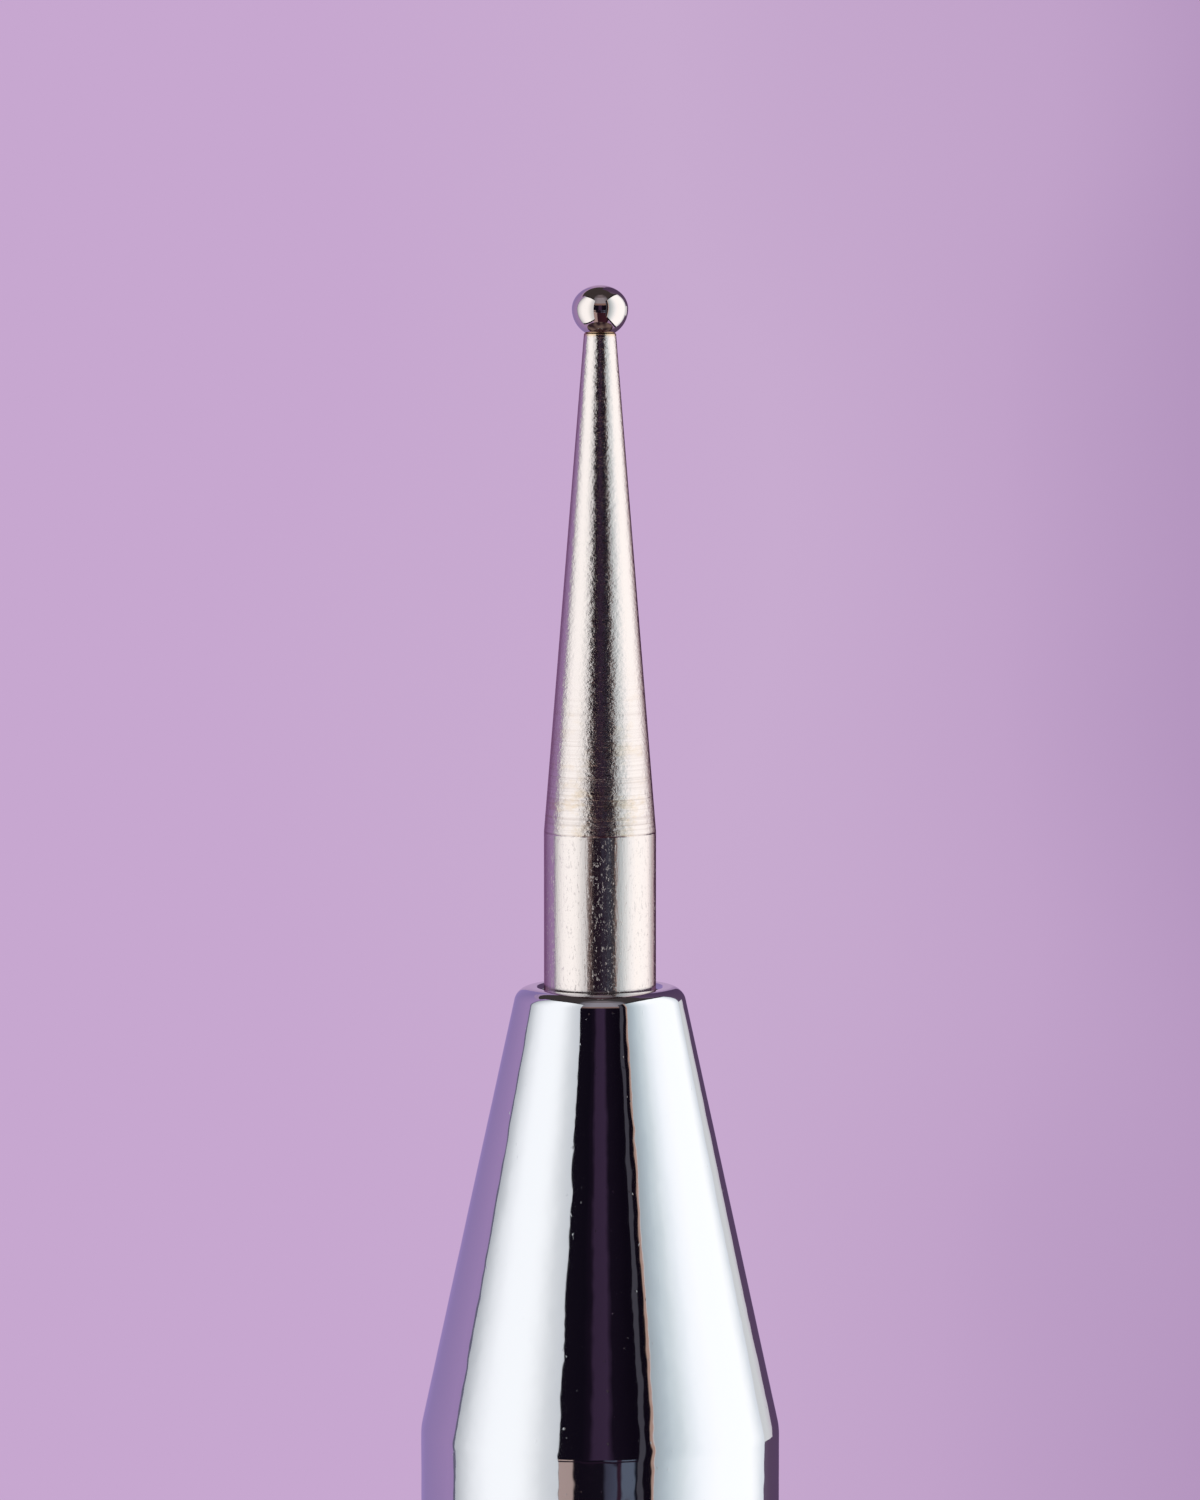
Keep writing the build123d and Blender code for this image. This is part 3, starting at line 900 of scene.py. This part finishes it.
def card(name, distance, elevations, stops):
    """A curved card round the tool, painted along its azimuth with (azimuth, colour) stops."""
    first, last = stops[0][0], stops[-1][0]
    low, high = (distance * tan(radians(angle)) + AIM_HEIGHT * MM for angle in elevations)
    deselect()
    bpy.ops.mesh.primitive_plane_add(size=1)
    piece = bpy.context.object
    piece.name = name
    bpy.ops.object.mode_set(mode="EDIT")
    bpy.ops.mesh.select_all(action="SELECT")
    bpy.ops.mesh.merge(type="CENTER")
    bpy.ops.transform.translate(value=on_circle(first, distance, low))
    bpy.ops.mesh.extrude_region_move(TRANSFORM_OT_translate={"value": (0, 0, high - low)})
    bpy.ops.mesh.select_all(action="SELECT")
    bpy.ops.mesh.spin(steps=CARD_STEPS, angle=radians(first - last), center=(0, 0, 0), axis=(0, 0, 1))
    bpy.ops.object.mode_set(mode="OBJECT")
    material, tree, place = new_material(name)
    spot = add(tree, "SeparateXYZ", {"Vector": place})
    towards = add(tree, "Math", {0: spot.outputs["Y"], 1: -1.0}, operation="MULTIPLY")
    azimuth = add(tree, "Math", {0: spot, 1: towards}, operation="ARCTAN2")
    share = add(tree, "MapRange", {"Value": azimuth, "From Min": radians(first), "From Max": radians(last)})
    paint = add(tree, "ValToRGB", {"Fac": share},
                stops=[((angle - first) / (last - first), linear(code)) for angle, code in stops])
    add(tree, "OutputMaterial", {"Surface": add(tree, "Emission", {"Color": paint})})
    staged(piece, material)


def dark_above():
    """The dark of the room above the softboxes and the lit ceiling."""
    deselect()
    bpy.ops.mesh.primitive_circle_add(vertices=DISC_STEPS, radius=CEILING_RADIUS, fill_type="NGON",
                                      location=CEILING_PLACE)
    material, tree, _ = new_material("room_above")
    add(tree, "OutputMaterial", {"Surface": add(tree, "Emission", {"Color": linear("#4C4444")})})
    staged(bpy.context.object, material)


def dark_below():
    """The dark stand under the tool, which only the lower half of a ball shows."""
    deselect()
    bpy.ops.mesh.primitive_circle_add(vertices=DISC_STEPS, radius=STAND_RADIUS, fill_type="NGON",
                                      location=STAND_PLACE)
    material, tree, place = new_material("stand_below")
    mottle = add(tree, "TexNoise", {"Vector": place, "Scale": 7.0, "Detail": 0.0})
    paint = add(tree, "ValToRGB", {"Fac": mottle},
                stops=[(0.35, linear("#3A2830")), (0.70, linear("#8C766E"))])
    add(tree, "OutputMaterial", {"Surface": add(tree, "Emission", {"Color": paint})})
    staged(bpy.context.object, material)


def floor():
    """A pale lilac sheet of paper under the tool, which fades into the backdrop at its rim."""
    deselect()
    bpy.ops.mesh.primitive_circle_add(vertices=FLOOR_STEPS, radius=FLOOR_RADIUS, fill_type="NGON",
                                      location=(0, 0, FLOOR_HEIGHT))
    bpy.ops.object.transform_apply(location=True, rotation=False, scale=False)
    piece = bpy.context.object
    piece.name = "floor_paper"
    material, tree, place = new_material("lilac_card_paper")
    flat = add(tree, "VectorMath", {0: place, 1: (1.0, 1.0, 0.0)}, operation="MULTIPLY")
    reach = add(tree, "VectorMath", {0: flat.outputs["Vector"]}, operation="LENGTH")
    fade = add(tree, "MapRange", {"Value": reach.outputs["Value"], "From Min": FLOOR_RADIUS / 8,
                                  "From Max": FLOOR_RADIUS, "To Min": 1.0, "To Max": 0.0},
               interpolation_type="SMOOTHSTEP")
    paper = add(tree, "BsdfPrincipled", {"Base Color": linear("#DCCBE2"), "Roughness": 0.9,
                                         "Alpha": fade})
    add(tree, "OutputMaterial", {"Surface": paper})
    piece.data.materials.append(material)
    piece.visible_glossy = False


def studio():
    """Two softboxes, the room that the metal shows between, above and below them, and a pale floor."""
    softbox("left_softbox", LEFT_LAMP, 0, LEFT_RADIANCE, LEFT_GLOW, LEFT_RIMS)
    softbox("right_softbox", RIGHT_LAMP, RIGHT_LAMP_LEAN, RIGHT_RADIANCE, RIGHT_GLOW, RIGHT_RIMS)

    # The dark room between the lamps, with the camera in it, and the lit ceiling above it
    card("room_in_front", 1.1, (-3, 24), [
        (-36, "#1A1420"), (-12, "#15101C"), (-7, "#1E1524"), (-4, "#423049"), (5, "#46334D"), (9, "#1C1422"),
        (22, "#130D19"), (45, "#130D19")])
    card("ceiling_low", 1.15, (20, 34), [
        (-40, "#6E5C5C"), (-12, "#A08078"), (22, "#A08078"), (50, "#6E5C5C")])
    card("ceiling_high", 1.15, (34, 66), [
        (-40, "#7C7880"), (-12, "#B0A8B0"), (22, "#B0A8B0"), (50, "#7C7880")])
    card("ceiling_top", 0.45, (66, 83), [
        (-50, "#5A5458"), (-12, "#8C8084"), (22, "#8C8084"), (60, "#5A5458")])

    # A table top with a dark edge across it, and the stand below it
    for name, elevations in (("table_near", (-13, -8.6)), ("table_far", (-5.6, -3))):
        card(name, 1.05, elevations, [
            (-36, "#D9BDB6"), (-18, "#D0B5AE"), (-17, "#16101C"), (2, "#1A1520"), (4, "#4A4A5C"),
            (10, "#565A6E"), (11, "#3A2434"), (13, "#3A2434"), (14, "#6C7486"), (22, "#6C7486"),
            (23, "#1A1C28"), (28, "#3A3C4A"), (30, "#1A1520"), (45, "#1A1520")])
    card("table_middle", 1.05, (-8.6, -5.6), [(-36, "#1C121E"), (0, "#2A1C2C"), (45, "#1C121E")])
    card("stand_in_front", 1.0, (-55, -13), [
        (-36, "#C9ACA8"), (-14, "#C9ACA8"), (-11, "#3A1E2A"), (30, "#4A2834"), (45, "#2A1620")])

    # Bright cloth and paper edges beside the lamps
    card("lamp_side", 0.47, (-9.5, 6), [(130, "#FFFFFF"), (138, "#FFFFFF"), (146, "#E8DCE8")])
    card("left_paper_edge", 0.9, (-60, 36), [(-170, "#A28BC6"), (-150, "#A88FC8"), (-114, "#C4A2DA")])
    card("right_dark_wall", 0.9, (-60, 60), [(126, "#7C6A80"), (140, "#6B5472"), (172, "#5A4466")])
    dark_above()
    dark_below()
    floor()


def lilac_backdrop():
    """Lilac paper all round, as the camera and the metal see it, and a soft neutral light on the rest."""
    world = bpy.data.worlds.new("lilac_paper")
    bpy.context.scene.world = world
    world.use_nodes = True
    tree = world.node_tree
    tree.nodes.clear()
    direction = add(tree, "TexCoord").outputs["Generated"]
    spot = add(tree, "SeparateXYZ", {"Vector": direction})
    blotch = add(tree, "TexNoise", {"Vector": direction, "Scale": 11.0, "Detail": 1.0, "Roughness": 0.4})
    across = add(tree, "MapRange", {"Value": spot.outputs["X"], "From Min": -0.08, "From Max": 0.08,
                                    "To Min": -0.35, "To Max": 1.0})
    share = add(tree, "MapRange", {"Value": blotch, "From Min": 0.3, "From Max": 0.7, "To Min": -0.12,
                                   "To Max": 0.12})
    total = add(tree, "Math", {0: across, 1: share}, operation="ADD")
    tint = add(tree, "ValToRGB", {"Fac": total},
               stops=[(0.0, linear("#C7A7D0")), (0.4, linear("#C8ABD0")), (0.75, linear("#C1A2CA")),
                      (1.0, linear("#B596C0"))])
    paper = add(tree, "Background", {"Color": tint, "Strength": 1.0})
    fill = add(tree, "Background", {"Color": linear("#E4DDE6"), "Strength": 0.35})
    ray = add(tree, "LightPath")
    seen = add(tree, "Math", {0: ray.outputs["Is Camera Ray"], 1: ray.outputs["Is Glossy Ray"]},
               operation="MAXIMUM")
    seen = add(tree, "Math", {0: seen, 1: ray.outputs["Is Transmission Ray"]}, operation="MAXIMUM")
    add(tree, "OutputWorld", {"Surface": add(tree, "MixShader", {0: seen, 1: fill, 2: paper})})


set_camera()
studio()
lilac_backdrop()

chrome = chrome_plate()
brass = turned_brass()
nose_cones(chrome)
trim_rings(chrome)
stems()
balls(polished_steel())
barrel_tube(anodised_aluminium())
grip_sleeves(fluted_nickel())
seal_rings(black_rubber())
chuck_inserts(brass)
collets(brass)

bpy.context.scene.view_settings.view_transform = "Standard"
